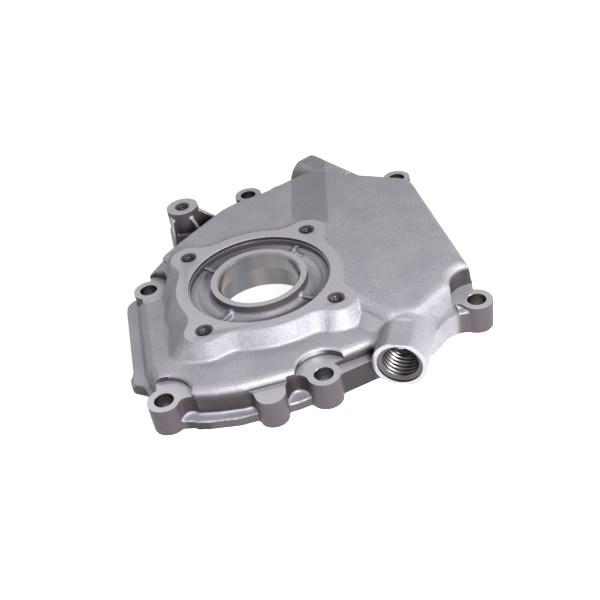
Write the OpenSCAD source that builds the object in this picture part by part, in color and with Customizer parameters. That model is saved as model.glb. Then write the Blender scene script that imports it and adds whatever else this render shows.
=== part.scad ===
// Crankcase cover of a small engine, one aluminium die casting, drive side up.
// Zero is the crank axis on the drive face; the gasket face lies at the bottom.

/* [Heights] */
// Gasket face to drive face
cover_h = 29; // [26:0.5:34]
// Height of the cover bolt bosses above the gasket face
boss_h = 15; // [12:0.5:18]
// Thickness of the flange
flange_t = 5; // [4:0.5:7]
// Height of the machined ledges beside the front oil port
ledge_h = 12.5; // [10:0.5:14]
// Height of the left rim above the gasket face
rim_h = 7; // [6:0.5:9]
// How far the flat top lies below the drive face
top_drop = 0.7; // [0.3:0.1:2]
// How far the rear left part of the top lies lower still
rear_drop = 1; // [0.5:0.1:2]
// Across position of the foot of the gentle ramp between the two levels
ramp_x = 27; // [20:0.5:32]
// Width of the gentle ramp
ramp_w = 18; // [10:0.5:24]
// Drop of the terrace below the drive face, on the crank axis
terrace_drop = 12.2; // [10:0.1:13]

/* [Walls] */
// Wall and roof thickness of the casting
wall = 4; // [3:0.5:6]
// Edge radius of the flat top
top_edge_r = 5; // [2:0.5:7]
// Edge radius of the terrace
terrace_edge_r = 3.5; // [2:0.5:6]
// Thickness of the ribs inside
rib_t = 3; // [2:0.5:5]
// Depth of the ribs below the drive face
rib_depth = 13; // [9:0.5:18]

/* [Cover bolts] */
// Across position of the two left bolts
left_x = -57.7; // [-60:0.1:-56]
// Along position of the rear left bolt
left_rear_y = 32.5; // [30:0.1:35]
// Along position of the front left bolt
left_front_y = -58.1; // [-60:0.1:-56]
// Across position of the front bolt
front_x = 16; // [14:0.1:18]
// Along position of the front bolt
front_y = -67.7; // [-70:0.1:-66]
// Across position of the two right bolts
right_x = 99.5; // [97:0.1:102]
// Along position of the front right bolt
right_front_y = -42.7; // [-45:0.1:-40]
// Along position of the rear right bolt
right_rear_y = 87.6; // [85:0.1:90]
// Across position of the rear bolt
rear_x = 10.6; // [8:0.1:13]
// Along position of the rear bolt
rear_y = 108.5; // [106:0.1:111]
// Radius of a cover bolt hole
bolt_hole_r = 4.5; // [4.2:0.1:5]
// Radius of a cover bolt boss
boss_r = 8; // [7:0.1:9]
// Radius of the pocket milled round a bolt head
pocket_r = 12.9; // [11:0.1:13.5]
// Radius of the smaller pocket at the rear left bolt
small_pocket_r = 11.4; // [10:0.1:12]
// Flare radius at the top of a shallow pocket
flare_r = 1.5; // [1:0.5:3]
// Flare radius at the top of a deep pocket
deep_flare_r = 4; // [2:0.5:6]

/* [Drive face] */
// Outer radius of the face ring
face_r = 42.5; // [41:0.1:44]
// Spacing of the four threaded holes
pto_pitch = 65.1; // [64:0.05:66]
// Radius of a corner lobe
lobe_r = 9.7; // [9:0.1:11]
// Radius of the hollow between ring and lobe
lobe_fillet_r = 15; // [10:0.5:18]
// Core radius of an M8 thread
m8_core_r = 3.4; // [3.3:0.05:3.5]
// Mouth radius of an M8 thread
m8_mouth_r = 4.4; // [4.2:0.1:4.6]
// Depth of the drive face threads
pto_thread_depth = 18; // [14:1:20]
// Spread of the pedestal foot at the front
foot_front = 2.6; // [2:0.1:6]
// Further spread of the pedestal foot at the left
foot_left = 8.1; // [6:0.1:12]
// Reach of the left foot line from the crank axis
foot_reach = 51.7; // [50:0.1:53]
// Depth of the waves in the left foot line
foot_wave = 2; // [0:0.5:4]

/* [Recess and bores] */
// Radius of the locating recess
pilot_r = 36.4; // [36:0.1:37]
// Depth of the locating recess
pilot_depth = 2; // [1:0.5:3]
// Depth of the flat ring in the recess
ring_depth = 5; // [4:0.5:6]
// Inner radius of the flat ring
ring_in_r = 32.6; // [32:0.1:34]
// Depth of the rounded trough
trough_depth = 6.8; // [6:0.1:8]
// Outer radius of the hub
hub_r = 24.7; // [24:0.1:26]
// Depth of the four webs below the drive face
web_drop = 3.8; // [2:0.1:5]
// Thickness of a web
web_t = 2; // [1.5:0.1:3]
// Width of the narrow pocket beside a web
web_pocket_w = 6.5; // [4:0.5:9]
// Radius of the oil seal bore
seal_r = 20.625; // [20:0.005:21]
// Length of the oil seal bore
seal_len = 9.2; // [8:0.1:10]
// Chamfer at the mouth of the oil seal bore
seal_chamfer = 1; // [0.5:0.1:1.5]
// Radius of the bearing seat
bearing_r = 26; // [25:0.5:31]
// Length of the bearing seat
bearing_len = 15; // [13:0.5:16]
// Outer radius of the bearing housing
bearing_boss_r = 32; // [31:0.5:36]

/* [Oil ports] */
// Angle of the port axes away from straight front and rear
port_turn = 27; // [20:0.5:35]
// Across position of the front port mouth
port_x = 50.3; // [48:0.1:54]
// Along position of the front port mouth
port_y = -73.6; // [-76:0.1:-70]
// Across position of the rear port mouth
rear_port_x = 50.1; // [48:0.1:54]
// Along position of the rear port mouth
rear_port_y = 117.3; // [110:0.1:120]
// Depth of the port axes below the drive face
port_drop = 15; // [13:0.5:17]
// Outer radius of a port
port_r = 12.9; // [12:0.1:14]
// Radius of the sealing seat in the port mouth
port_seat_r = 10.7; // [10:0.1:11.5]
// Depth of the sealing seat
port_seat_depth = 1.2; // [0.5:0.1:2]
// Core radius of the M20 port thread
port_core_r = 8.65; // [8.5:0.05:9]
// Length of the port thread
port_len = 17; // [12:0.5:20]
// Radius of the cored way behind a port thread
port_way_r = 7.6; // [7:0.1:8.5]
// Depth of the cored way behind the front port
port_way = 31; // [26:1:36]
// Depth of the cored way behind the rear port
rear_port_way = 40; // [34:1:44]

/* [Rear post] */
// Across position of the post
post_x = -30; // [-34:0.1:-26]
// Along position of the post
post_y = 88; // [84:0.1:92]
// Radius of the post
post_r = 9.2; // [8:0.1:10]
// Depth of the thread in the post
post_thread_depth = 16; // [10:1:20]
// Thickness of the post gussets
gusset_t = 2; // [1.5:0.1:4]

/* [Inner bosses] */
// Across position of the camshaft bore
cam_x = 52; // [48:0.5:56]
// Along position of the camshaft bore
cam_y = 34; // [30:0.5:38]
// Radius of the camshaft bore
cam_bore_r = 7; // [6:0.5:9]
// Across position of the governor shaft hole
gov_x = 72; // [68:0.5:76]
// Along position of the governor shaft hole
gov_y = -22; // [-26:0.5:-18]
// Radius of the governor shaft hole
gov_bore_r = 3; // [2.5:0.5:5]
// Radius of the two dowel holes
dowel_r = 4; // [3:0.5:5]
// Depth of the two dowel holes
dowel_depth = 9; // [6:0.5:12]
// Across position of the front dowel boss
dowel_x = -10; // [-12:0.1:-8]
// Along position of the front dowel boss
dowel_y = -71.4; // [-73:0.1:-70]
// Across position of the rear dowel boss
rear_dowel_x = 30; // [26:0.1:36]
// Along position of the rear dowel boss
rear_dowel_y = 104; // [100:0.1:108]
// Radius of the dowel bosses
dowel_boss_r = 7.2; // [6.5:0.1:9]

/* [Hidden] */

$fn = 96;

// Levels
z_gasket = -cover_h;
z_boss = z_gasket + boss_h;
z_flange = z_gasket + flange_t;
z_rim = z_gasket + rim_h;
z_top = -top_drop;
z_rear_top = z_top - rear_drop;
z_bearing_top = -seal_len;
z_bearing_low = z_bearing_top - bearing_len;
z_port = -port_drop;
z_pedestal = -trough_depth - wall;

// Slopes of the terrace along the two directions
terrace_dy = -0.044;
terrace_dx = 0.01;
function terrace_z(p, drop = 0) = -terrace_drop - drop + terrace_dy * p[1] + terrace_dx * p[0];

// Drive face pattern
half_pitch = pto_pitch / 2;
lobe_d = half_pitch * sqrt(2);

bolts = [
    [left_x, left_rear_y],
    [left_x, left_front_y],
    [front_x, front_y],
    [right_x, right_front_y],
    [right_x, right_rear_y],
    [rear_x, rear_y]
];

// Points of one rounded corner after moving both sides inward by e
least_r = 0.4;
function corner_pts(p, c, n, e, m) =
    let (u = unit2(c - p))
    let (v = unit2(n - c))
    let (nu = [-u[1], u[0]])
    let (nv = [-v[1], v[0]])
    let (t = atan2(u[0] * v[1] - u[1] * v[0], u * v))
    let (s = t < 0 ? -1 : 1)
    let (bis = (nu + nv) / (1 + nu * nv))
    let (r = max(least_r, c[2] - s * e))
    let (q = [c[0], c[1]] + e * bis)
    let (mid = q + s * r * bis)
    [for (i = [0:m]) mid - s * r * turn(nu, t * i / m)];
function unit2(v) = [v[0], v[1]] / norm([v[0], v[1]]);
function turn(v, a) = [v[0] * cos(a) - v[1] * sin(a), v[0] * sin(a) + v[1] * cos(a)];

// Closed outline through all rounded corners
function outline(cs, e = 0, m = 4) =
    [for (i = [0:len(cs) - 1])
        each corner_pts(cs[(i + len(cs) - 1) % len(cs)], cs[i], cs[(i + 1) % len(cs)], e, m)];

// Solid skin over rings of equal count, lowest ring first
module skin(rings) {
    n = len(rings[0]);
    k = len(rings);
    pts = concat([for (r = rings) each r], [middle(rings[0]), middle(rings[k - 1])]);
    low = [for (i = [0:n - 1]) [i, (i + 1) % n, k * n]];
    high = [for (i = [0:n - 1]) [(k - 1) * n + (i + 1) % n, (k - 1) * n + i, k * n + 1]];
    side = [for (j = [0:k - 2]) for (i = [0:n - 1])
        each [[j * n + i, (j + 1) * n + i, (j + 1) * n + (i + 1) % n],
              [j * n + i, (j + 1) * n + (i + 1) % n, j * n + (i + 1) % n]]];
    polyhedron(points = pts, faces = concat(low, side, high), convexity = 8);
}

function middle(ring) = [for (p = ring) 1] * ring / len(ring);
function at_z(ring, z) = [for (p = ring) [p[0], p[1], z]];
function on_terrace(ring, drop) = [for (p = ring) [p[0], p[1], terrace_z(p, drop)]];
edge_steps = [0, 30, 60, 90];

// Upper body corners at the foot and at the top: across, along, radius
body_foot = [
    [102.4, -33, 9], [102.4, 64, 12], [48.5, 101, 13], [19, 88.5, 20],
    [-6, 81, 40], [-37, 56.5, 60], [-57.5, 47.5, 6], [-52, 30, 8], [-44, 10, 10],
    [-20, -36, 10], [30, -46, 10], [46, -60, 6], [66, -58, 8]
];
body_top = [
    [101.4, -32.5, 8], [101.4, 63.5, 10], [48.5, 99.8, 12], [19, 87.5, 20],
    [-6, 81, 40], [-36, 55, 60], [-48, 43.5, 4], [-41, 30, 8], [-33, 10, 10],
    [-20, -30, 10], [38, -34, 8], [52, -55, 6], [65.5, -57, 8]
];

// Terrace corners at the foot and at the top
terrace_foot = [
    [60, 20, 6], [-40, 46, 6], [-60, 38, 6], [-66, 30, 8], [-66, -31, 10], [-61, -42, 8], [-58, -60, 6],
    [-48, -62.7, 6], [-22, -69.4, 12], [6, -69.4, 8], [27, -63, 8], [44, -60, 6], [60, -50, 6]
];
terrace_top = [
    [60, 20, 6], [-40, 42, 6], [-54, 38, 6], [-62.3, 30, 8], [-62.6, -29, 10], [-57.5, -41, 8], [-54, -58, 6],
    [-46, -62.5, 6], [-22, -68.8, 12], [6, -68.8, 8], [26, -62.6, 8], [44, -59.6, 6], [60, -50, 6]
];

// Outline of the flange at the gasket face
flange_corners = [
    [106, -40, 6], [106, 90, 8], [92, 95.6, 10], [60, 106, 10], [44, 111, 8],
    [rear_x, rear_y + 5, 8], [-4, 100, 10], [-18, 88, 8], [-48, 52, 10], [-62, 40.5, 6],
    [-68, 40.2, 5], [-72.6, 34, 7], [-74, -28, 6], [-70.5, -33, 5], [-66, -37, 6], [-65.5, -62, 6],
    [-52, -64.2, 8], [-28, -71.2, 12], [2, -70.7, 10], [24, -67, 6], [42, -62, 8],
    [60, -60, 8], [73, -55, 8], [82.5, -47, 12], [90, -45, 8], [97, -48, 6]
];

// Raised ledges either side of the front port
ledge_corners = [
    [100, -43, 4], [88, -30, 6], [17, -40, 6], [17, -69.6, 0.5], [24.8, -67.9, 4], [41, -64, 6],
    [60, -62, 6], [72.8, -56.8, 6], [82, -48.8, 12], [90, -46.9, 8], [96, -49.5, 4]
];

// Raised rim along the left side
rim_corners = [
    [-58, 36, 4], [-66.5, 39.5, 5], [-71.6, 33.5, 6], [-73.2, -28, 6], [-70, -32.5, 5], [-60, -40, 5]
];

// Front dowel boss with its hollows towards the wall
nose_corners = [
    [dowel_x - 13, -60, 2], [dowel_x - 10.5, -66.7, 0.5], [dowel_x - 7.2, -67.5, 4],
    [dowel_x - 7.2, -78.6, 7.1], [dowel_x + 7.2, -78.6, 7.1], [dowel_x + 7.2, -67.3, 4],
    [dowel_x + 10.5, -66.5, 0.5], [dowel_x + 13, -60, 2]
];

// Bracket under the rear post
shelf_corners = [
    [-14, 70, 4], [-8, 81, 4], [-23, 96, 8], [-35, 97.5, 8], [-40.3, 92, 6], [-40.3, 50, 6], [-34, 44, 4]
];

// Post gussets: start, end, start height, end height
gussets = [
    [[-37.6, 84], [-38.9, 58], -2.5, z_boss - 0.3],
    [[-26.5, 80.5], [-20.5, 67], -2.8, z_boss + 2],
    [[-22.5, 87], [-9, 78], -1.5, z_boss + 5]
];

// Mouth of a port; side is -1 at the front and 1 at the rear
function port_pos(side) = side < 0 ? [port_x, port_y] : [rear_port_x, rear_port_y];

// Places children on a port axis, their z direction pointing into the engine
module on_port(side) {
    p = port_pos(side);
    translate([p[0], p[1], z_port])
        rotate([0, 0, side < 0 ? -port_turn : 180 + port_turn])
            rotate([-90, 0, 0])
                children();
}

module at_bolts() {
    for (b = bolts)
        translate([b[0], b[1], 0])
            children();
}

module at_pto_holes() {
    for (a = [45:90:315])
        rotate([0, 0, a])
            translate([lobe_d, 0, 0])
                children();
}

// Geometry of the hollows between ring and lobes
hollow_d = face_r + lobe_fillet_r;
hollow_l = lobe_r + lobe_fillet_r;
hollow_a = 45 - acos((hollow_d * hollow_d + lobe_d * lobe_d - hollow_l * hollow_l) / (2 * hollow_d * lobe_d));
hollow_c = hollow_d * [cos(hollow_a), sin(hollow_a)];
lobe_c = lobe_d * [cos(45), sin(45)];
lobe_a = atan2(hollow_c[1] - lobe_c[1], hollow_c[0] - lobe_c[0]);

// One eighth of the drive face edge as point and direction pairs
eighth = concat(
    [for (i = [0:2]) let (a = hollow_a * i / 3) [face_r * polar(a), polar(a)]],
    [for (i = [0:4]) let (a = hollow_a + 180 + (lobe_a - hollow_a) * i / 4) [hollow_c + lobe_fillet_r * polar(a), -polar(a)]],
    [for (i = [1:4]) let (a = lobe_a + (45 - lobe_a) * i / 5) [lobe_c + lobe_r * polar(a), polar(a)]]
);
function polar(a) = [cos(a), sin(a)];
function flip(v) = [v[1], v[0]];
quarter = concat(
    eighth,
    [[lobe_c + lobe_r * polar(45), polar(45)]],
    [for (i = [len(eighth) - 1:-1:1]) [flip(eighth[i][0]), flip(eighth[i][1])]]
);
face_edge = [for (k = [0:3]) for (q = quarter) [turn(q[0], 90 * k), turn(q[1], 90 * k)]];

// Foot spread of an edge point, wider towards the left and a little towards the right
foot_lean = 0.05;
function spread(q) =
    foot_front + foot_lean * q[0][0] + foot_left * pow(max(0, -q[1][0]), q[0][1] > 0 ? 12 : 4);
function left_line(y) = -foot_reach + foot_wave * exp(-pow((abs(y) - 11) / 5, 2));
function foot_pt(q, s) =
    q[1][0] < -0.3 && abs(q[0][1]) < half_pitch
    ? [q[0][0] + s * (left_line(q[0][1]) - q[0][0]), q[0][1] + s * 2 * q[1][1]]
    : q[0] + s * spread(q) * q[1];
function pedestal_ring(s, z) = at_z([for (q = face_edge) foot_pt(q, s)], z);
function pedestal_foot(s, drop) = on_terrace([for (q = face_edge) foot_pt(q, s)], drop);

module pedestal() {
    skin([
        pedestal_foot(1.15, 2),
        pedestal_foot(1.07, 0.3),
        pedestal_foot(0.86, -1.4),
        pedestal_ring(0.06, -1),
        pedestal_ring(0, -0.4),
        pedestal_ring(-0.03, 0.6)
    ]);
}

module upper_body() {
    skin(concat(
        [at_z(outline(body_foot), z_flange - 1), at_z(outline(body_foot), z_boss)],
        [for (a = edge_steps)
            at_z(outline(body_top, top_edge_r * (1 - cos(a))), z_top - top_edge_r * (1 - sin(a)))]
    ));
}

// Lower level of the top at the rear left, with a gentle ramp up to the rest
module rear_step() {
    translate([0, 120, 0])
        rotate([90, 0, 0])
            linear_extrude(height = 100)
                polygon([[-80, 3], [-80, z_rear_top], [ramp_x, z_rear_top], [ramp_x + 3 * ramp_w, z_rear_top + 3 * rear_drop]]);
}

module terrace() {
    skin(concat(
        [at_z(outline(terrace_foot), z_flange - 1), at_z(outline(terrace_foot), z_rim)],
        [for (a = edge_steps)
            on_terrace(outline(terrace_top, terrace_edge_r * (1 - cos(a))), terrace_edge_r * (1 - sin(a)))]
    ));
}

module port_outside(side) {
    on_port(side)
        cylinder(r = port_r, h = 34);
}

module post() {
    translate([0, 0, z_gasket])
        linear_extrude(height = z_boss - z_gasket)
            polygon(outline(shelf_corners));
    translate([post_x, post_y, z_boss - 1])
        cylinder(r = post_r, h = 1.6 - z_boss);
    for (g = gussets)
        gusset(g);
}

// Thin rib from the post down to the bracket
module gusset(g) {
    d = g[1] - g[0];
    l = norm(d);
    translate([g[0][0], g[0][1], 0])
        rotate([90, 0, atan2(d[1], d[0])])
            translate([0, 0, -gusset_t / 2])
                linear_extrude(height = gusset_t)
                    polygon([[-2, z_boss - 1], [l, z_boss - 1], [l, g[3]], [0, g[2]], [-2, g[2]]]);
}

module flange() {
    translate([0, 0, z_gasket])
        linear_extrude(height = flange_t)
            polygon(outline(flange_corners));
    translate([0, 0, z_gasket])
        linear_extrude(height = ledge_h)
            polygon(outline(ledge_corners));
    skin([
        at_z(outline(rim_corners), z_gasket),
        at_z(outline(rim_corners), z_rim - 1.5),
        at_z(outline(rim_corners, 0.5), z_rim - 0.5),
        at_z(outline(rim_corners, 1.5), z_rim)
    ]);
    at_bolts()
        translate([0, 0, z_gasket])
            cylinder(r = boss_r, h = boss_h);
    translate([0, 0, z_gasket])
        linear_extrude(height = boss_h)
            polygon(outline(nose_corners));
    translate([rear_dowel_x, rear_dowel_y, z_gasket])
        cylinder(r = dowel_boss_r, h = boss_h);
}

// Everything before the hollow and the machining
module rough_outside() {
    flange();
    terrace();
    difference() {
        upper_body();
        rear_step();
    }
    pedestal();
    post();
    port_outside(-1);
    port_outside(1);
}

// Hollow open towards the crankcase, seen from below
module hollow() {
    skin([
        at_z(outline(body_foot, wall), z_gasket - 1),
        at_z(outline(body_foot, wall), z_flange),
        at_z(outline(body_top, wall + 1), z_top - top_edge_r - 1),
        at_z(outline(body_top, wall + 3), z_top - wall)
    ]);
    skin([
        at_z(outline(terrace_foot, wall), z_gasket - 1),
        at_z(outline(terrace_foot, wall), z_rim),
        on_terrace(outline(terrace_top, wall + 1), wall + 2),
        on_terrace(outline(terrace_top, wall + 3), wall)
    ]);
}

// Metal that stays inside the hollow
module inner_metal() {
    // roof under the drive face
    translate([0, 0, z_pedestal])
        cylinder(r = face_r + 4, h = -z_pedestal);
    translate([0, 0, z_bearing_low])
        cylinder(r = bearing_boss_r, h = -z_bearing_low - 2);
    at_pto_holes()
        translate([0, 0, -pto_thread_depth - wall])
            cylinder(r = boss_r, h = pto_thread_depth);
    at_bolts()
        translate([0, 0, z_gasket])
            cylinder(r = boss_r + 2, h = boss_h);
    for (b = bolts)
        translate([b[0], b[1], z_boss - wall])
            cylinder(r = pocket_r + wall, h = -z_boss + wall);
    for (side = [-1, 1])
        on_port(side)
            cylinder(r = port_r, h = port_len + port_seat_depth);
    translate([cam_x, cam_y, z_gasket + 8])
        cylinder(r = cam_bore_r + 5, h = cover_h - 10);
    translate([gov_x, gov_y, z_gasket + 6])
        cylinder(r = gov_bore_r + 4, h = cover_h - 8);
    // ribs from the bearing housing to the walls
    for (a = [15, 75, 110, 150, 190, 235, 275, 335])
        rotate([0, 0, a])
            translate([bearing_boss_r - 3, -rib_t / 2, -rib_depth])
                cube([70, rib_t, rib_depth - 2]);
}

// Flared pocket for a bolt head, cut down to the boss level
module pocket(r, top, f) {
    rotate_extrude()
        polygon(concat(
            [[0, z_boss]],
            [[r, z_boss]],
            [for (a = [0:22.5:67.5]) [r + f * (1 - cos(a)), top - f * (1 - sin(a))]],
            [[r + f, top + 0.4]],
            [[r + f, top + 12]],
            [[0, top + 12]]
        ));
}

module pockets() {
    translate([left_x, left_rear_y, 0])
        pocket(small_pocket_r, z_rear_top - deep_flare_r, deep_flare_r - 1);
    translate([left_x, left_front_y, 0])
        pocket(pocket_r, terrace_z([left_x, left_front_y]) - 0.3, flare_r);
    translate([front_x, front_y, 0])
        pocket(pocket_r, terrace_z([front_x, front_y]) - 0.3, flare_r);
    translate([right_x, right_front_y, 0])
        pocket(pocket_r, z_top, deep_flare_r);
}

// Annular recess round the hub, with four webs left standing
module recess() {
    difference() {
        rotate_extrude()
            polygon([
                [hub_r, 1], [hub_r + 0.3, -4], [hub_r + 1.2, -trough_depth + 0.6], [hub_r + 2.4, -trough_depth],
                [ring_in_r - 3, -trough_depth], [ring_in_r - 1.1, -trough_depth + 0.6],
                [ring_in_r, -ring_depth], [pilot_r - 0.5, -ring_depth], [pilot_r - 0.5, -pilot_depth],
                [pilot_r, -pilot_depth], [pilot_r, -0.5], [pilot_r + 0.5, 0], [pilot_r + 0.5, 1]
            ]);
        for (a = [45:90:315])
            rotate([0, 0, a])
                translate([hub_r - 1, -web_t / 2, -trough_depth - 1])
                    cube([pilot_r - hub_r + 1, web_t, trough_depth + 1 - web_drop]);
    }
    for (k = [0:3])
        rotate([0, 0, 45 + 90 * k])
            translate([ring_in_r - 2, k == 0 || k == 3 ? -web_t / 2 - web_pocket_w : web_t / 2, -trough_depth])
                cube([pilot_r - 0.6 - ring_in_r + 2, web_pocket_w, trough_depth - web_drop]);
}

module blind_m8(depth) {
    translate([0, 0, -depth])
        cylinder(r = m8_core_r, h = depth + 1);
    translate([0, 0, m8_core_r - m8_mouth_r])
        cylinder(r1 = m8_core_r, r2 = m8_mouth_r + 1, h = m8_mouth_r - m8_core_r + 1);
}

module crank_bore() {
    translate([0, 0, z_bearing_top - 1])
        cylinder(r = seal_r, h = seal_len + 2);
    translate([0, 0, z_gasket - 1])
        cylinder(r = bearing_r, h = z_bearing_top - z_gasket + 1);
    translate([0, 0, -seal_chamfer])
        cylinder(r1 = seal_r, r2 = seal_r + 2 * seal_chamfer, h = 2 * seal_chamfer);
}

module port_bore(side) {
    on_port(side) {
        translate([0, 0, -1])
            cylinder(r = port_seat_r, h = port_seat_depth + 1);
        cylinder(r = port_core_r, h = port_seat_depth + port_len);
        cylinder(r = port_way_r, h = side < 0 ? port_way : rear_port_way);
    }
}

module bores() {
    crank_bore();
    at_pto_holes()
        blind_m8(pto_thread_depth);
    at_bolts()
        translate([0, 0, z_gasket - 1])
            cylinder(r = bolt_hole_r, h = boss_h + 3);
    for (side = [-1, 1])
        port_bore(side);
    translate([post_x, post_y, 0])
        blind_m8(post_thread_depth);
    translate([cam_x, cam_y, z_gasket])
        cylinder(r = cam_bore_r, h = cover_h - 8);
    translate([gov_x, gov_y, z_gasket])
        cylinder(r = gov_bore_r, h = cover_h - 8);
    translate([dowel_x, dowel_y, z_gasket - 1])
        cylinder(r = dowel_r, h = dowel_depth + 1);
    translate([rear_dowel_x, rear_dowel_y, z_gasket - 1])
        cylinder(r = dowel_r, h = dowel_depth + 1);
}

module cover_casting() {
    color([0.62, 0.62, 0.65])
        difference() {
            rough_outside();
            difference() {
                hollow();
                inner_metal();
            }
            // pocket under the post bracket
            translate([0, 0, z_gasket - 1])
                linear_extrude(height = boss_h + 1 - wall)
                    polygon(outline(shelf_corners, wall));
            pockets();
            recess();
            bores();
            // drive face level
            translate([-200, -200, 0])
                cube([400, 400, 20]);
        }
}

cover_casting();
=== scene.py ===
import math

import bmesh
import bpy
from mathutils import Matrix, Vector


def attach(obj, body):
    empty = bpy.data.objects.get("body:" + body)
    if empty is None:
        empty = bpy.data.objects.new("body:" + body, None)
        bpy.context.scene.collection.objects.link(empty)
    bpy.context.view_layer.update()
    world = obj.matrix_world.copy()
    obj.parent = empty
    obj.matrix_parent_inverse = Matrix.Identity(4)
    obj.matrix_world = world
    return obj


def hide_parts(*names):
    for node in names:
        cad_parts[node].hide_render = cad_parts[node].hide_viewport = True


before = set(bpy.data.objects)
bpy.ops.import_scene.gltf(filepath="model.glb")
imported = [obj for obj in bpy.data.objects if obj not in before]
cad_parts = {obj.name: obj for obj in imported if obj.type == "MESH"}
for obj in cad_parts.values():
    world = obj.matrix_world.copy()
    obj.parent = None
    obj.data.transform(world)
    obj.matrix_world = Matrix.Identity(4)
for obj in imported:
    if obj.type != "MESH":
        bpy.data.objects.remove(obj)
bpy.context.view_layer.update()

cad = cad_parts["cover_casting"]


# Sizes of the part in millimetres; zero is the crank axis on the drive face

MM = 0.001
GASKET, BOSS, LEDGE = -29.0, -14.0, -16.5
FLANGE, RIM, TERRACE = -24.0, -22.0, -12.2
TERRACE_RISE, TERRACE_FALL = 0.01, 0.044      # its tilt across and along, for each millimetre
TERRACE_EDGE, WALL = 3.5, 5.5
EDGE_STEPS = (0, 30, 60, 90)                  # degrees round an edge

STOCK = 1.6                 # metal left on a face before it is machined
VOXEL = 0.6                 # grain of the remesh that rounds the cast edges
ROUNDING = 6                # smoothing passes for the cast edges
CAST_TRIANGLES = 150000
SHARP_FROM = 38             # degrees between faces that don't blend
LAP, OVER = 0.02, 0.1       # how far a zone passes a form it is laid against, and a form the face it ends at
OUT_LOW, OUT_HIGH = (-120, -120), (140, 160)  # corners well outside the part

# Bolts: across, along, radius of the faced spot
BOLTS = {
    "rear_left": (-57.7, 32.5, 11.4), "front_left": (-57.7, -58.1, 12.9),
    "front": (16.0, -67.7, 12.9), "front_right": (99.5, -42.7, 12.9),
    "rear_right": (99.5, 87.6, 9.0), "rear": (10.6, 108.5, 9.0),
}
TERRACE_BOLTS = (BOLTS["front_left"], BOLTS["front"])
POCKET_TOPS = {"rear_left": -5.0, "front_left": -10.9, "front": -10.9, "front_right": -4.9}
POCKET_PLAY = 0.15
POCKET_FLARE, FLARE_BELOW, FLARE_OVER, FLARE_TURNS = 1.5, 0.3, 0.4, (0, 0.4, 0.8, 1.2)
BOLT_HOLE_R, BOLT_BOSS_R, BOLT_STOCK_R, BOLT_MOUTH = 4.5, 8.0, 6.4, 1.4

HALF_PITCH = 32.55
FACE_R, LOBE_R, LOBE_FILLET = 42.5, 9.7, 15.0
PILOT_R, PILOT_DEPTH, PILOT_EDGE = 36.4, 2.0, 0.8
RING_R, RING_IN_R, RING_Z, RING_LOW = 35.9, 32.6, -5.0, -6.2
HUB_R, HUB_LIP = 24.7, 1.2
SEAL_R, SEAL_LEN, SEAL_MOUTH = 20.625, 9.2, 1.9
BEARING_R, BEARING_LOW, BEARING_BOSS = 26.0, -24.2, (25.0, 33.5)
POST = (-30.0, 88.0, 9.2)
CAM_BORE = (52.0, 34.0, 7.0)
GOVERNOR_HOLE = (72.0, -22.0, 3.0)
BORE_TOP = -8
DOWELS = ((-10.0, -71.4, 4.0), (30.0, 104.0, 4.0))
DOWEL_DEPTH = 9.0
M8_CORE_R, M8_CREST_R, M8_PITCH, M8_MOUTH_R = 3.35, 4.0, 1.25, 4.4
M8_THREAD, M8_DRILL, M8_POINT = 11.0, 16, 18
M8_STOCK_R, M8_STOCK_LOW = 5.4, -19.4

# Ports: across, along, and which way they look; their barrels are flat above and below
PORTS = {"front": (50.3, -73.6, -1), "rear": (50.1, 117.3, 1)}
PORT_TURN, PORT_Z, PORT_R, PORT_HALF, PORT_STOCK_R = 27.0, -15.0, 12.9, 11.9, 11.2
PORT_SEAT_R, PORT_SEAT_DEPTH, PORT_TRIM = 10.7, 1.2, 0.03
PORT_CORE_R, PORT_CREST_R, PORT_PITCH, PORT_LEN, PORT_WAY_R = 8.65, 10.0, 2.5, 17.0, 7.6
# The rear port's barrel runs on to the slanted rear wall: its shell's ends and top, and what lies outside the wall
SHELL_FROM, SHELL_TO, SHELL_TOP = 24.0, 53.0, -5.0
OUTSIDE_WALL = [(79.5, 75), (100, 75), (100, 125), (45, 125), (49.5, 95)]

# Zones that are cast anew: left, front, right, rear
FRONT_ZONE, FRONT_TERRACE, CORNER_TERRACE = (-52, -85, 42, -56), (-52, -75, 42, -56), (-70, -62, -50, -20)
LEFT_ZONE, LEFT_EDGE = (-80, -45, -66.6, 39.9), (-80, -45, -66.5, 39.9)
FRONT_HOLLOWS, HOLLOW_R, HOLLOW_TOP = ((-47.4, -64.9), (3.0, -68.9)), (4.5, 5.0), -12
DOWEL_SPOT = (-20.8, -80, 0.8, -66)
LEDGE_REGION = [(18, -42), (18, -69.8), (24.8, -69.4), (41, -65.4), (60, -63.4), (72, -58.4),
                (81, -50.6), (88.5, -48.4), (90, -30)]

# Corners of the cast forms: across, along, radius
TERRACE_FOOT = [(60, 20, 6), (-40, 46, 6), (-60, 38, 6), (-66, 30, 8), (-65.8, -30, 10), (-62.4, -42, 8),
                (-61, -60, 6), (-48, -61.4, 6), (-34, -65.4, 12), (-22, -67.4, 12), (6, -67, 8), (27, -61.9, 8),
                (44, -59, 6), (60, -50, 6)]
TERRACE_TOP = [(60, 20, 6), (-40, 42, 6), (-54, 38, 6), (-62.3, 30, 8), (-62.4, -33, 8), (-60.4, -43, 6),
               (-60, -58.4, 6), (-46, -60.9, 6), (-34, -64.7, 12), (-22, -66.7, 12), (6, -66.4, 8), (26, -61.5, 8),
               (44, -58.6, 6), (60, -50, 6)]
FLANGE_LEFT = [(-60, 36, 4), (-66.5, 39.5, 5), (-72.4, 34, 7), (-72.2, -22, 5), (-73.9, -25.5, 3), (-73.9, -30.5, 4),
               (-66, -36, 6), (-60, -36, 1)]
RIM_LEFT = [(-60, 36, 4), (-66.5, 39.5, 5), (-71.6, 33.5, 6), (-71.9, -24, 8), (-72.7, -31.5, 4), (-66, -35.5, 4),
            (-60, -36, 1)]
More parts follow.
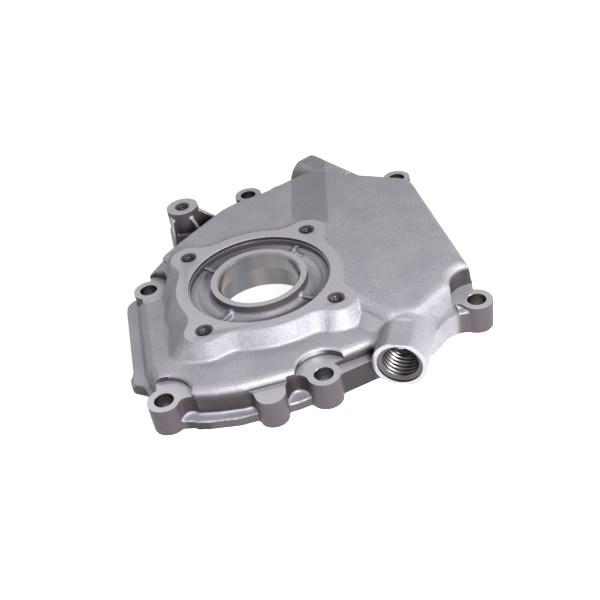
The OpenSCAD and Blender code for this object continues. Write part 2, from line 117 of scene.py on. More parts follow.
FRONT_STRIP = [(-53, -64.8, 0.5), (-40, -68.8, 30), (-26, -71.6, 14), (2, -71.2, 10), (16, -68.6, 1), (16, -67.2, 1),
               (-10, -68.5, 1), (-40, -67, 1)]
NOSE = [(-23, -60, 2), (-20.5, -66.7, 0.5), (-17.2, -67.5, 4), (-17.2, -78.6, 7.1), (-2.8, -78.6, 7.1),
        (-2.8, -67.3, 4), (0.5, -66.5, 0.5), (3, -60, 2)]
LEDGE_CAST = [(100, -43, 4), (88, -30, 6), (17, -40, 6), (17, -69.6, 0.5), (24.8, -67.9, 4), (41, -64, 6),
              (60, -62, 6), (72.8, -56.8, 6), (82, -48.8, 12), (90, -46.9, 8), (96, -49.5, 4)]
BOSS_WEB = [(84, -38, 2), (86, -42.4, 0.5), (91.2, -43, 3), (92.6, -46.4, 0.5), (100, -46, 2), (96, -36, 2)]


# Helper shapes, closed, in millimetres

def shape(name, points, faces):
    mesh = bpy.data.meshes.new(name)
    mesh.from_pydata([Vector(p) * MM for p in points], [], faces)
    obj = bpy.data.objects.new(name, mesh)
    bpy.context.scene.collection.objects.link(obj)
    return obj


def at(x, y):
    return Matrix.Translation((x, y, 0))


def lathe(name, profile, place=Matrix.Identity(4), steps=96, wave=None):
    """Turned solid from (radius, height) pairs, bottom to top, closed on its axis."""
    points = [place @ Vector((0, 0, profile[0][1]))]
    for r, z in profile:
        for i in range(steps):
            a = 2 * math.pi * i / steps
            rr = wave(r, z, a) if wave else r
            points.append(place @ Vector((rr * math.cos(a), rr * math.sin(a), z)))
    points.append(place @ Vector((0, 0, profile[-1][1])))
    faces = []
    rows = len(profile)
    for i in range(steps):
        j = (i + 1) % steps
        faces.append((0, 1 + j, 1 + i))
        for k in range(rows - 1):
            low, high = 1 + k * steps, 1 + (k + 1) * steps
            faces.append((low + i, low + j, high + j, high + i))
        top = 1 + (rows - 1) * steps
        faces.append((len(points) - 1, top + i, top + j))
    return shape(name, points, faces)


def ring(name, profile, steps=128):
    """Turned ring round the crank axis from a closed loop of (radius, height) pairs."""
    points, faces = [], []
    n = len(profile)
    for i in range(steps):
        a = 2 * math.pi * i / steps
        points += [(r * math.cos(a), r * math.sin(a), z) for r, z in profile]
    for i in range(steps):
        j = (i + 1) % steps
        for k in range(n):
            m = (k + 1) % n
            faces.append((i * n + k, j * n + k, j * n + m, i * n + m))
    return shape(name, points, faces)


def prism(name, outline, z0, z1):
    n = len(outline)
    points = [(x, y, z0) for x, y in outline] + [(x, y, z1) for x, y in outline]
    faces = [tuple(range(n - 1, -1, -1)), tuple(range(n, 2 * n))]
    faces += [(i, (i + 1) % n, n + (i + 1) % n, n + i) for i in range(n)]
    return shape(name, points, faces)


def box_prism(name, x0, y0, x1, y1, z0, z1):
    return prism(name, [(x0, y0), (x1, y0), (x1, y1), (x0, y1)], z0, z1)


def pin(name, x, y, r, z0, z1, steps=64):
    return lathe(name, [(r, z0), (r, z1)], at(x, y), steps)


def rounded(corners, inset=0.0, steps=4):
    """Outline through rounded corners, moved inward by inset."""
    points = []
    for i, (x, y, r) in enumerate(corners):
        corner = Vector((x, y))
        u = (corner - Vector(corners[i - 1][:2])).normalized()
        v = (Vector(corners[(i + 1) % len(corners)][:2]) - corner).normalized()
        nu, nv = Vector((-u.y, u.x)), Vector((-v.y, v.x))
        turn = math.atan2(u.x * v.y - u.y * v.x, u.dot(v))
        side = -1 if turn < 0 else 1
        bisector = (nu + nv) / (1 + nu.dot(nv))
        radius = max(0.4, r - side * inset)
        middle = corner + (inset + side * radius) * bisector
        points += [middle - side * radius * (Matrix.Rotation(turn * k / steps, 2) @ nu) for k in range(steps + 1)]
    return points


def cast(name, corners, z0, z1):
    return prism(name, [tuple(v) for v in rounded(corners)], z0, z1)


def loft(name, rings):
    """Closed solid through rings of equal count, lowest first."""
    n, rows = len(rings[0]), len(rings)
    faces = [tuple(range(n - 1, -1, -1)), tuple((rows - 1) * n + i for i in range(n))]
    faces += [(k * n + i, k * n + (i + 1) % n, (k + 1) * n + (i + 1) % n, (k + 1) * n + i)
              for k in range(rows - 1) for i in range(n)]
    return shape(name, [p for ring_of in rings for p in ring_of], faces)


def terrace_height(x, y, lower):
    return TERRACE - lower - TERRACE_FALL * y + TERRACE_RISE * x


def edge_steps(radius, turns):
    """How far in and how far down the steps round an edge lie."""
    return [(radius * (1 - math.cos(a)), radius * (1 - math.sin(a))) for a in turns]


def new_terrace(wall=0.0):
    """The tilted terrace with its rounded edge, or the space inside its wall."""
    rings = [[(v.x, v.y, z) for v in rounded(TERRACE_FOOT, wall)] for z in (GASKET - wall, RIM)]
    steps = edge_steps(TERRACE_EDGE, [math.radians(a) for a in EDGE_STEPS])
    if wall:
        steps = [(wall + 1, wall + 2), (wall + 3, wall)]
    for inset, lower in steps:
        rings.append([(v.x, v.y, terrace_height(v.x, v.y, lower)) for v in rounded(TERRACE_TOP, inset)])
    return loft("terrace", rings)


def pockets():
    """Flared pockets round the two front bolts in the terrace."""
    made = []
    for x, y, r in TERRACE_BOLTS:
        top = terrace_height(x, y, FLARE_BELOW)
        flare = [(r + out, top - down) for out, down in edge_steps(POCKET_FLARE, FLARE_TURNS)]
        flare += [(r + POCKET_FLARE, top + FLARE_OVER), (r + POCKET_FLARE, 0)]
        made.append(lathe("pocket", [(r, BOSS)] + flare, at(x, y)))
    return made


def polar(a):
    return Vector((math.cos(a), math.sin(a)))


def face_outline():
    """Edge of the drive face: a ring with four lobes and soft hollows between."""
    lobe = Vector((HALF_PITCH, HALF_PITCH))
    d, l = FACE_R + LOBE_FILLET, LOBE_R + LOBE_FILLET
    turn = math.acos((d * d + lobe.length_squared - l * l) / (2 * d * lobe.length))
    a0 = math.pi / 4 - turn
    hollow = d * polar(a0)
    a1 = math.atan2(hollow.y - lobe.y, hollow.x - lobe.x)
    half = [FACE_R * polar(a0 * i / 6) for i in range(6)]
    half += [hollow + LOBE_FILLET * polar(a0 + math.pi + (a1 - a0) * i / 8) for i in range(9)]
    half += [lobe + LOBE_R * polar(a1 + (math.pi / 4 - a1) * i / 8) for i in range(1, 8)]
    quarter = half + [lobe + LOBE_R * polar(math.pi / 4)] + [Vector((v.y, v.x)) for v in half[:0:-1]]
    return [Matrix.Rotation(math.pi / 2 * k, 2) @ v for k in range(4) for v in quarter]


def thread_plug(core, crest, pitch, start, threaded, mouth, depth, place, steps):
    """Cutter for a tapped hole, its z running into the hole from the mouth."""
    def wave(r, z, a):
        if r != core or not start <= z <= threaded:
            return r
        turn = (z / pitch - a / (2 * math.pi)) % 1.0
        rise = min(1.0, max(0.0, (0.5 - abs(turn - 0.5)) * 2.6 - 0.45))
        fade = min(1.0, (threaded - z) / pitch * 1.4)
        return core + (crest - core) * rise * fade
    rows = round((threaded - start) / pitch * 8)
    profile = mouth + [(core, start + (threaded - start) * k / rows) for k in range(rows + 1)] + depth
    return lathe("tool", profile, place, steps, wave)


def port_place(side):
    x, y, way = PORTS[side]
    turn = -PORT_TURN if way < 0 else 180 + PORT_TURN
    return (Matrix.Translation((x, y, PORT_Z)) @ Matrix.Rotation(math.radians(turn), 4, 'Z')
            @ Matrix.Rotation(math.radians(-90), 4, 'X'))


def round_port(name, side, profile, steps=72):
    """Turned solid on the axis of a port, its heights running in from the mouth."""
    return lathe(name, profile, port_place(side), steps)


def between_flats(side, start):
    """The space between the flats of a port's barrel, from start inward."""
    slab = box_prism("between", -20, -PORT_HALF, 20, PORT_HALF, start, 30)
    place = port_place(side)
    place.translation *= MM
    slab.data.transform(place)
    return slab


# Mesh work

FINISHES = {name: bpy.data.materials.new(name) for name in ("cast_skin", "milled_face", "reamed_bore", "tapped_thread")}


def bake(obj):
    """Applies what the modifiers of obj make of its mesh."""
    deps = bpy.context.evaluated_depsgraph_get()
    deps.update()
    mesh = bpy.data.meshes.new_from_object(obj.evaluated_get(deps), depsgraph=deps)
    old = obj.data
    obj.modifiers.clear()
    obj.data = mesh
    bpy.data.meshes.remove(old)


def modify(obj, kind, **values):
    """Applies one modifier."""
    modifier = obj.modifiers.new(kind.lower(), kind)
    for label, value in values.items():
        setattr(modifier, label, value)
    bake(obj)


def drop(obj):
    mesh = obj.data
    bpy.data.objects.remove(obj)
    bpy.data.meshes.remove(mesh)


def boolean(obj, other, operation):
    modify(obj, 'BOOLEAN', operation=operation, solver='MANIFOLD', material_mode='TRANSFER', object=other)


def combined(obj, others, operation):
    """obj after the operation with each of the others, which go."""
    for other in others:
        boolean(obj, other, operation)
        drop(other)
    return obj


def cut_by(obj, others):
    return combined(obj, others, 'DIFFERENCE')


def kept_in(obj, zone):
    return combined(obj, [zone], 'INTERSECT')


def shifted(obj, z):
    obj.data.transform(Matrix.Translation((0, 0, z * MM)))
    return obj


def finish_with(obj, name):
    """The cut that obj makes leaves this finish on the casting."""
    obj.data.materials.clear()
    obj.data.materials.append(FINISHES[name])
    return obj


def copy_of(obj, name):
    twin = obj.copy()
    twin.data = obj.data.copy()
    twin.name = name
    twin.parent = None
    bpy.context.scene.collection.objects.link(twin)
    return twin


def join(name, objs):
    bm = bmesh.new()
    for obj in objs:
        bm.from_mesh(obj.data)
        drop(obj)
    mesh = bpy.data.meshes.new(name)
    bm.to_mesh(mesh)
    bm.free()
    obj = bpy.data.objects.new(name, mesh)
    bpy.context.scene.collection.objects.link(obj)
    return obj


# The casting before machining, from a closed copy of the node

closed = copy_of(cad, "closed_cad")
weld = bmesh.new()
weld.from_mesh(closed.data)
bmesh.ops.remove_doubles(weld, verts=weld.verts, dist=1e-7)
weld.to_mesh(closed.data)
weld.free()
closed.data.materials.clear()
for layer in ("custom_normal", "sharp_edge", "sharp_face"):
    if layer in closed.data.attributes:
        closed.data.attributes.remove(closed.data.attributes[layer])

# Cast forms truer to the photo than the node: the front wall and strip, hollows beside the front bosses,
# the left edge, the web at the front right boss and flats on the port barrels
front_forms = [new_terrace(), round_port("barrel", "front", [(PORT_R + LAP, -1), (PORT_R + LAP, 34)]),
               cast("nose", NOSE, GASKET, BOSS + OVER), cast("ledge", LEDGE_CAST, GASKET, LEDGE + OVER)]
front_forms += [pin("boss", x, y, BOLT_BOSS_R + LAP, GASKET, BOSS + OVER) for x, y, r in TERRACE_BOLTS]
cut_by(closed, [cut_by(box_prism("front_zone", *FRONT_ZONE, FLANGE + LAP, -4), front_forms),
                box_prism("left_zone", *LEFT_ZONE, GASKET - 1, -15)])
for side in PORTS:
    barrel = round_port("barrel", side, [(PORT_R + 0.3, -0.5), (PORT_R + 0.3, 18)])
    cut_by(closed, [cut_by(barrel, [between_flats(side, -2)])])
additions = [kept_in(cast("left_edge", corners, GASKET, top), box_prism("zone", *LEFT_EDGE, -30, -20))
             for corners, top in ((FLANGE_LEFT, FLANGE), (RIM_LEFT, RIM))]
additions += [cast("front_strip", FRONT_STRIP, GASKET, FLANGE), cast("boss_web", BOSS_WEB, GASKET, BOSS)]
additions += [cut_by(kept_in(new_terrace(), box_prism("zone", *zone, GASKET, -5)), [new_terrace(WALL), *pockets()])
              for zone in (FRONT_TERRACE, CORNER_TERRACE)]
combined(closed, additions, 'UNION')
cut_by(closed, [lathe("hollow", [(HOLLOW_R[0], FLANGE + OVER), (HOLLOW_R[1], HOLLOW_TOP)], at(x, y), 48)
                for x, y in FRONT_HOLLOWS])

# Flats to machine: level and helper outline; each gets stock on it and a cutter above it
flats = {"spot_" + bolt: (BOSS, lambda z0, z1, x=x, y=y, r=r: pin("flat", x, y, r, z0, z1, 96))
         for bolt, (x, y, r) in BOLTS.items()}
flats["dowel_boss"] = (BOSS, lambda z0, z1: box_prism("flat", *DOWEL_SPOT, z0, z1))
flats["ledge"] = (LEDGE, lambda z0, z1: prism("flat", LEDGE_REGION, z0, z1))

stock, tools = [], []


def tool(finish, obj):
    tools.append(finish_with(obj, finish))


for name, (z, make) in flats.items():
    slab = make(z - STOCK, z - 0.01)
    boolean(slab, closed, 'INTERSECT')
    stock.append(shifted(slab, STOCK))
    bolt = name.replace("spot_", "")
    if bolt in POCKET_TOPS:
        x, y, r = BOLTS[bolt]
        tool("milled_face", pin("pocket", x, y, r + POCKET_PLAY, z, POCKET_TOPS[bolt], 128))
    else:
        tool("milled_face", make(z, z + STOCK + 1.6))
        boolean(tools[-1], closed, 'DIFFERENCE')

base = box_prism("flat", *OUT_LOW, *OUT_HIGH, GASKET, GASKET + STOCK)
boolean(base, closed, 'INTERSECT')
stock.append(shifted(base, -STOCK))

stock.append(cut_by(prism("stock", face_outline(), -STOCK, STOCK),
                    [lathe("hole", [(RING_R, -3), (RING_R, 3)], steps=128)]))
stock.append(ring("stock", [(RING_R, -4.6), (39.0, -4.6), (39.0, STOCK), (RING_R, STOCK)]))
stock.append(ring("stock", [(RING_IN_R, RING_LOW), (RING_R + 0.4, RING_LOW), (RING_R + 0.4, -3.4),
                            (RING_IN_R, -3.4)]))
boolean(stock[-1], closed, 'DIFFERENCE')
stock.append(lathe("stock", [(HUB_R, -4), (HUB_R, STOCK)]))
stock.append(lathe("stock", [(BEARING_R + 2.5, GASKET - STOCK), (BEARING_R + 2.5, -SEAL_LEN + 0.4),
                             (SEAL_R + 1, -SEAL_LEN + 0.6), (SEAL_R + 1, STOCK)]))
stock.append(lathe("stock", [(31.9, BEARING_LOW - STOCK), (31.9, BEARING_LOW + 1)]))
stock.append(pin("stock", *POST, -12, STOCK))
face_m8 = [(x, y) for x in (-HALF_PITCH, HALF_PITCH) for y in (-HALF_PITCH, HALF_PITCH)]
stock += [pin("stock", x, y, M8_STOCK_R, M8_STOCK_LOW, STOCK) for x, y in face_m8]
stock += [pin("stock", x, y, BOLT_STOCK_R, GASKET - STOCK, BOSS + STOCK) for x, y, r in BOLTS.values()]
stock += [pin("stock", x, y, r + 1.2, GASKET - STOCK, GASKET + DOWEL_DEPTH + 1.5) for x, y, r in DOWELS]
for (x, y, r), wall, low in ((CAM_BORE, 2, GASKET + 8), (GOVERNOR_HOLE, 1.5, GASKET + 6)):
    stock.append(pin("stock", x, y, r + wall, low, BORE_TOP + 1))
for side in PORTS:
    barrel = round_port("stock", side, [(PORT_R, -STOCK), (PORT_R, 3), (PORT_STOCK_R, 3.1),
                                        (PORT_STOCK_R, PORT_LEN + 1)])
    stock.append(kept_in(barrel, between_flats(side, -5)))
shell = kept_in(round_port("stock", "rear", [(PORT_R, SHELL_FROM), (PORT_R, SHELL_TO)]),
                prism("outside", OUTSIDE_WALL, GASKET + 0.2, SHELL_TOP))
stock.append(cut_by(shell, [round_port("way", "rear", [(PORT_WAY_R, SHELL_FROM - 2), (PORT_WAY_R, SHELL_TO - 4)])]))

casting = join("casting", [copy_of(closed, "rough")] + stock)
modify(casting, 'REMESH', mode='VOXEL', voxel_size=VOXEL * MM)
modify(casting, 'SMOOTH', factor=0.5, iterations=ROUNDING)
modify(casting, 'DECIMATE', ratio=CAST_TRIANGLES / (2 * len(casting.data.polygons)))


# Machining: the rest of the cutters, then one cut

tool("milled_face", box_prism("tool", *OUT_LOW, *OUT_HIGH, 0, 8))
tool("milled_face", box_prism("tool", *OUT_LOW, *OUT_HIGH, GASKET - 8, GASKET))
tool("milled_face", ring("tool", [(HUB_R + HUB_LIP, 0.5), (HUB_R + HUB_LIP, -PILOT_DEPTH), (PILOT_R, -PILOT_DEPTH),
                                  (PILOT_R, -0.3), (PILOT_R + PILOT_EDGE, 0.5)], 160))
tool("milled_face", ring("tool", [(RING_IN_R - 0.6, -2.2), (RING_IN_R - 0.6, RING_Z), (RING_R, RING_Z),
                                  (RING_R, -2.2)], 160))
boolean(tools[-1], closed, 'DIFFERENCE')
tool("reamed_bore", lathe("tool", [(BEARING_R, GASKET - 4), (BEARING_R, -SEAL_LEN), (SEAL_R, -SEAL_LEN),
                                   (SEAL_R, -0.9), (SEAL_R + SEAL_MOUTH, 1)], steps=160))
tool("milled_face", ring("tool", [(BEARING_BOSS[0], GASKET - 3), (BEARING_BOSS[1], GASKET - 3),
                                  (BEARING_BOSS[1], BEARING_LOW), (BEARING_BOSS[0], BEARING_LOW)]))
boolean(tools[-1], closed, 'DIFFERENCE')
for x, y, r in BOLTS.values():
    tool("reamed_bore", lathe("tool", [(BOLT_HOLE_R + BOLT_MOUTH, GASKET - 1), (BOLT_HOLE_R, GASKET + 0.4),
                                       (BOLT_HOLE_R, BOSS - 0.25), (BOLT_HOLE_R + 1.25, BOSS + 1)], at(x, y), 64))
for x, y, r in DOWELS:
    tool("reamed_bore", lathe("tool", [(r + 1.5, GASKET - 1), (r, GASKET + 0.5), (r, GASKET + DOWEL_DEPTH),
                                       (0.4, GASKET + DOWEL_DEPTH + 1.6)], at(x, y), 48))
tool("reamed_bore", pin("tool", *CAM_BORE, GASKET - 2, BORE_TOP))
tool("reamed_bore", pin("tool", *GOVERNOR_HOLE, GASKET - 2, BORE_TOP, 48))
for x, y in face_m8 + [POST[:2]]:
    tool("tapped_thread", thread_plug(
        M8_CORE_R, M8_CREST_R, M8_PITCH, 0.8, M8_THREAD,
        [(M8_MOUTH_R + 1, -1), (M8_MOUTH_R, 0), (M8_CORE_R, M8_MOUTH_R - M8_CORE_R - 0.3)],
        [(M8_CORE_R, M8_DRILL), (0.3, M8_POINT)], at(x, y) @ Matrix.Rotation(math.pi, 4, 'X'), 40))
for side in PORTS:
    tool("tapped_thread", thread_plug(
        PORT_CORE_R, PORT_CREST_R, PORT_PITCH, 2.2, PORT_LEN + 1,
        [(PORT_SEAT_R, -6), (PORT_SEAT_R, PORT_SEAT_DEPTH), (PORT_CORE_R, 2.0)],
        [(PORT_CORE_R, PORT_LEN + 1), (PORT_WAY_R, PORT_LEN + 1.3), (PORT_WAY_R, PORT_LEN + 4)],
        port_place(side), 72))
    tool("milled_face", round_port("tool", side, [(PORT_R + 1.5, -5), (PORT_R + 1.5, PORT_TRIM)], 48))
cutter = combined(tools[0], tools[1:], 'UNION')
drop(closed)

finish_with(casting, "cast_skin")
cut_by(casting, [cutter])
casting.name = "machined_cover_casting"
casting.data.polygons.foreach_set("use_smooth", [True] * len(casting.data.polygons))
casting.data.set_sharp_from_angle(angle=math.radians(SHARP_FROM))
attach(casting, "root")
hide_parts("cover_casting")


# Nodes for the materials

def group(name, outputs):
    """Empty shader node group that puts out numbers; returns the tree and its output node."""
    tree = bpy.data.node_groups.new(name, 'ShaderNodeTree')
    for label in outputs:
        tree.interface.new_socket(label, in_out='OUTPUT', socket_type='NodeSocketFloat')
    return tree, tree.nodes.new("NodeGroupOutput")


def feed(tree, socket, value):
    """Links a socket's value on, or sets a plain one."""
    if isinstance(value, (int, float, tuple)):
        socket.default_value = value
    else:
        tree.links.new(value, socket)


def math_node(tree, operation, *values):
    node = tree.nodes.new("ShaderNodeMath")
    node.operation = operation
    for socket, value in zip(node.inputs, values):
        feed(tree, socket, value)
    return node.outputs[0]


def times(tree, a, b):
    return math_node(tree, 'MULTIPLY', a, b)


def noise(tree, where, scale, detail=1.0, rough=0.5):
    node = tree.nodes.new("ShaderNodeTexNoise")
    for label, value in (("Vector", where), ("Scale", scale), ("Detail", detail), ("Roughness", rough)):
        feed(tree, node.inputs[label], value)
    return node.outputs[0]


def here(tree):
    """Place on the part, in metres."""
    return tree.nodes.new("ShaderNodeTexCoord").outputs["Object"]


def parts_of(tree, vector):
    node = tree.nodes.new("ShaderNodeSeparateXYZ")
    tree.links.new(vector, node.inputs[0])
    return node.outputs


def mapped(tree, label, value):
    """Place on the part, moved or scaled."""
    node = tree.nodes.new("ShaderNodeMapping")
    node.inputs[label].default_value = value
    tree.links.new(here(tree), node.inputs["Vector"])
    return node.outputs[0]


def remap(tree, value, low, high, to_low=0.0, to_high=1.0):
    node = tree.nodes.new("ShaderNodeMapRange")
    node.interpolation_type = 'SMOOTHSTEP'
    for label, number in (("Value", value), ("From Min", low), ("From Max", high), ("To Min", to_low),
                          ("To Max", to_high)):
        feed(tree, node.inputs[label], number)
    return node.outputs[0]


def band(tree, value, rise, fall, height=1.0):
    """Soft band of a value: up over the pair rise, down over the pair fall."""
    return times(tree, remap(tree, value, *rise), remap(tree, value, *fall, height, 0.0))


def blend_colour(tree, amount, a, b):
    node = tree.nodes.new("ShaderNodeMix")
    node.data_type = 'RGBA'
    for socket, value in zip([k for k in node.inputs if k.enabled], (amount, a, b)):
        feed(tree, socket, value)
    return [k for k in node.outputs if k.enabled][0]


# Blasted grain: a fine height and a slow change of tone
grain_group, out = group("blasted_grain", ("Height", "Tone"))
for label, scale in (("Height", 1000.0), ("Tone", 45.0)):
    feed(grain_group, out.inputs[label], noise(grain_group, here(grain_group), scale, 3.0, 0.6))

# Casting pits: a few tiny dark holes
pit_group, out = group("casting_pits", ("Mask",))
cells = pit_group.nodes.new("ShaderNodeTexVoronoi")
feed(pit_group, cells.inputs["Vector"], here(pit_group))
feed(pit_group, cells.inputs["Scale"], 90.0)
chance = pit_group.nodes.new("ShaderNodeSeparateColor")
feed(pit_group, chance.inputs[0], cells.outputs["Color"])
some = math_node(pit_group, 'GREATER_THAN', chance.outputs[0], 0.45)
near = math_node(pit_group, 'LESS_THAN', cells.outputs["Distance"], times(pit_group, chance.outputs[1], 0.04))
feed(pit_group, out.inputs["Mask"], times(pit_group, some, near))

# Painted shade: steep walls are given a darker colour for the shade that falls on them. The flared wall of the drive
# pedestal, the port mouths and the front right are spared. Recess is deeper painted shade on the deep front wall, Ramp
# painted shade on the strip behind the pedestal.
tree, out = group("painted_wall_shade", ("Mask", "Recess", "Ramp"))
wall_shade_group = tree
facing = parts_of(tree, tree.nodes.new("ShaderNodeTexCoord").outputs["Normal"])
x, y, z = parts_of(tree, here(tree))
steep = remap(tree, facing["Z"], 0.05, 0.45, 1.0, 0.0)
radius = math_node(tree, 'SQRT', math_node(tree, 'ADD', times(tree, x, x), times(tree, y, y)))
on_pedestal = times(tree, band(tree, radius, (0.038, 0.040), (0.056, 0.060)), remap(tree, z, -0.0135, -0.0125))
from_middle = math_node(tree, 'ABSOLUTE', math_node(tree, 'SUBTRACT', y, 0.0218))
at_port = times(tree, remap(tree, from_middle, 0.0895, 0.0905), remap(tree, x, 0.034, 0.036))
at_right = times(tree, band(tree, x, (0.048, 0.052), (0.086, 0.090), 0.85), remap(tree, y, -0.025, -0.015, 1.0, 0.0))
spared = math_node(tree, 'MAXIMUM', math_node(tree, 'MAXIMUM', on_pedestal, at_port), at_right)
feed(tree, out.inputs["Mask"], times(tree, steep, math_node(tree, 'SUBTRACT', 1.0, spared)))
behind = times(tree, remap(tree, y, -0.0695, -0.0683), remap(tree, z, -0.0165, -0.0125, 1.0, 0.0))
feed(tree, out.inputs["Recess"], times(tree, band(tree, x, (-0.051, -0.049), (0.040, 0.042)), behind))
along = math_node(tree, 'SUBTRACT', x, times(tree, y, 0.21))
end = math_node(tree, 'ADD', y, times(tree, x, 0.77))
feed(tree, out.inputs["Ramp"], times(tree, band(tree, along, (0.0165, 0.0180), (0.0372, 0.0387)),
                                     remap(tree, end, 0.0685, 0.0715)))

# Cutter marks: fine arcs round a far centre
arc_group, out = group("cutter_arcs", ("Height",))
arcs = arc_group.nodes.new("ShaderNodeTexWave")
arcs.wave_type = 'RINGS'
arcs.rings_direction = 'Z'
for label, value in (("Vector", mapped(arc_group, "Location", (0.02, 0.11, 0))), ("Scale", 700.0),
                     ("Distortion", 1.5), ("Detail", 2.0)):
    feed(arc_group, arcs.inputs[label], value)
feed(arc_group, out.inputs["Height"], arcs.outputs["Fac"])

# Painted reflection: light, dark and warm bands down a bore, changing round it, stand in for reflections of the
# surroundings
reflection_band_group, out = group("bore_reflection_bands", ("Tone", "Warmth"))
stretch = mapped(reflection_band_group, "Scale", (1.0, 1.0, 0.04))
for label, scale in (("Tone", 55.0), ("Warmth", 38.0)):
    feed(reflection_band_group, out.inputs[label], noise(reflection_band_group, stretch, scale))


# Materials

def use(tree, node_group):
    node = tree.nodes.new("ShaderNodeGroup")
    node.node_tree = node_group
    return node.outputs


def start(name, metallic, rough):
    material = FINISHES[name]
    material.use_nodes = True
    tree = material.node_tree
    bsdf = tree.nodes["Principled BSDF"]
    bsdf.inputs["Metallic"].default_value = metallic
    bsdf.inputs["Roughness"].default_value = rough
    return tree, bsdf.inputs


def bump(tree, height, distance, strength=1.0):
    node = tree.nodes.new("ShaderNodeBump")
    for label, value in (("Height", height), ("Distance", distance), ("Strength", strength)):
        feed(tree, node.inputs[label], value)
    return node.outputs[0]


tree, bsdf = start("cast_skin", 0.3, 0.52)
grain, pits, walls = use(tree, grain_group), use(tree, pit_group), use(tree, wall_shade_group)
skin = blend_colour(tree, remap(tree, grain["Tone"], 0.3, 0.7), (0.285, 0.278, 0.312, 1), (0.335, 0.328, 0.362, 1))
skin = blend_colour(tree, remap(tree, grain["Height"], 0.36, 0.64, 0.0, 0.32), skin, (0.14, 0.135, 0.15, 1))
# Painted shade: the strip behind the pedestal, the steep walls and, darkest, the deep front recess get darker colours
# for the shade on them
skin = blend_colour(tree, times(tree, walls["Ramp"], 0.38), skin, (0.06, 0.056, 0.062, 1))
wall_shade_colour = blend_colour(tree, walls["Recess"], (0.060, 0.047, 0.056, 1), (0.018, 0.013, 0.016, 1))
skin = blend_colour(tree, walls["Mask"], skin, wall_shade_colour)
feed(tree, bsdf["Base Color"], blend_colour(tree, pits["Mask"], skin, (0.03, 0.025, 0.03, 1)))
feed(tree, bsdf["Normal"], bump(tree, math_node(tree, 'SUBTRACT', grain["Height"], pits["Mask"]), 0.00022, 0.9))

tree, bsdf = start("milled_face", 0.45, 0.34)
marks = use(tree, arc_group)["Height"]
face = blend_colour(tree, remap(tree, marks, 0.0, 1.0), (0.33, 0.32, 0.35, 1), (0.40, 0.39, 0.42, 1))
# Painted shade: steep milled walls, such as the pocket walls, get a dark colour
feed(tree, bsdf["Base Color"], blend_colour(tree, use(tree, wall_shade_group)["Mask"], face, (0.045, 0.036, 0.042, 1)))
feed(tree, bsdf["Normal"], bump(tree, marks, 0.00001))

tree, bsdf = start("reamed_bore", 1.0, 0.22)
reflection_bands = use(tree, reflection_band_group)
# Painted reflection: the bore's colour goes from dark to light and warm in bands round it
metal = blend_colour(tree, remap(tree, reflection_bands["Warmth"], 0.4, 0.6), (0.30, 0.31, 0.34, 1), (0.33, 0.29, 0.27, 1))
feed(tree, bsdf["Base Color"], blend_colour(tree, remap(tree, reflection_bands["Tone"], 0.3, 0.7), (0.15, 0.15, 0.16, 1), metal))

# Painted shade: the threads get a very dark colour for the shade inside the tapped holes, with a random change of tone
tree, bsdf = start("tapped_thread", 1.0, 0.34)
feed(tree, bsdf["Base Color"],
     blend_colour(tree, use(tree, grain_group)["Tone"], (0.05, 0.045, 0.05, 1), (0.14, 0.13, 0.135, 1)))


# Floor, light and camera

FLOOR_GAP, FLOOR_HALF = 0.05, 3000      # in millimetres
FLOOR_GLOW, AMBIENT = 0.9, 0.02


def seen_and_plain(tree, seen, plain):
    """Shows the camera, gloss and glass one shader, and other rays the plain one."""
    path = tree.nodes.new("ShaderNodeLightPath").outputs
    rays = math_node(tree, 'MAXIMUM', path["Is Camera Ray"], path["Is Glossy Ray"])
    rays = math_node(tree, 'MAXIMUM', rays, path["Is Transmission Ray"])
    mix = tree.nodes.new("ShaderNodeMixShader")
    for socket, value in zip(mix.inputs, (rays, plain, seen)):
        tree.links.new(value, socket)
    return mix.outputs[0]


def simple_shader(tree, kind, **values):
    node = tree.nodes.new(kind)
    for label, value in values.items():
        node.inputs[label].default_value = value
    return node.outputs[0]


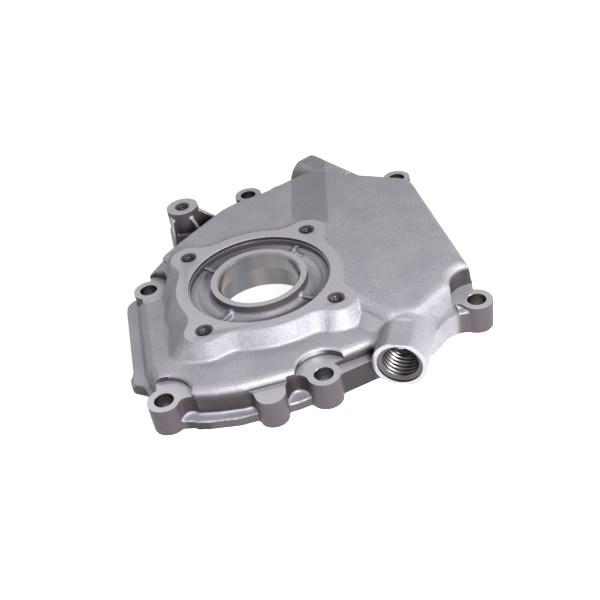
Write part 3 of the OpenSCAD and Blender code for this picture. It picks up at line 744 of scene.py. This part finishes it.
world = bpy.data.worlds.new("studio")
bpy.context.scene.world = world
world.use_nodes = True
tree = world.node_tree
tree.nodes.clear()
white, soft = [simple_shader(tree, "ShaderNodeBackground", Color=(1, 1, 1, 1), Strength=strength)
               for strength in (1.0, AMBIENT)]
feed(tree, tree.nodes.new("ShaderNodeOutputWorld").inputs["Surface"], seen_and_plain(tree, white, soft))

level = GASKET - FLOOR_GAP
floor = shape("floor", [(FLOOR_HALF * i, FLOOR_HALF * j, level) for i, j in ((-1, -1), (1, -1), (1, 1), (-1, 1))],
              [(0, 1, 2, 3)])
floor_paint = bpy.data.materials.new("pale_floor")
floor_paint.use_nodes = True
tree = floor_paint.node_tree
tree.nodes.clear()
matt = simple_shader(tree, "ShaderNodeBsdfDiffuse", Color=(0.8, 0.8, 0.8, 1))
glow = simple_shader(tree, "ShaderNodeEmission", Strength=FLOOR_GLOW)
both = tree.nodes.new("ShaderNodeAddShader")
for socket, value in zip(both.inputs, (matt, glow)):
    tree.links.new(value, socket)
feed(tree, tree.nodes.new("ShaderNodeOutputMaterial").inputs["Surface"], seen_and_plain(tree, both.outputs[0], matt))
floor.data.materials.append(floor_paint)


def lamp(name, place, size, watts):
    light = bpy.data.lights.new(name, 'AREA')
    light.shape = 'DISK'
    light.size = size
    light.energy = watts
    obj = bpy.data.objects.new(name, light)
    obj.location = place
    obj.rotation_euler = (Vector((0.02, 0, 0)) - Vector(place)).to_track_quat('-Z', 'Y').to_euler()
    bpy.context.scene.collection.objects.link(obj)


lamp("front_softbox", (0.1, -0.5, 0.22), 0.25, 5.8)
lamp("right_softbox", (0.45, -0.25, 0.25), 0.3, 1.5)
lamp("rear_softbox", (-0.4, 0.7, 0.9), 0.4, 2.9)

camera = bpy.data.objects.new("camera", bpy.data.cameras.new("camera"))
camera.data.sensor_width = 36.0
camera.data.lens = 53.199
camera.data.clip_start = 0.01
camera.location = (-0.0224666, -0.3691022, 0.2570977)
camera.rotation_euler = [math.radians(a) for a in (52.77349, 8.06766, -12.45324)]
bpy.context.scene.collection.objects.link(camera)
bpy.context.scene.camera = camera
bpy.context.scene.view_settings.view_transform = 'Standard'
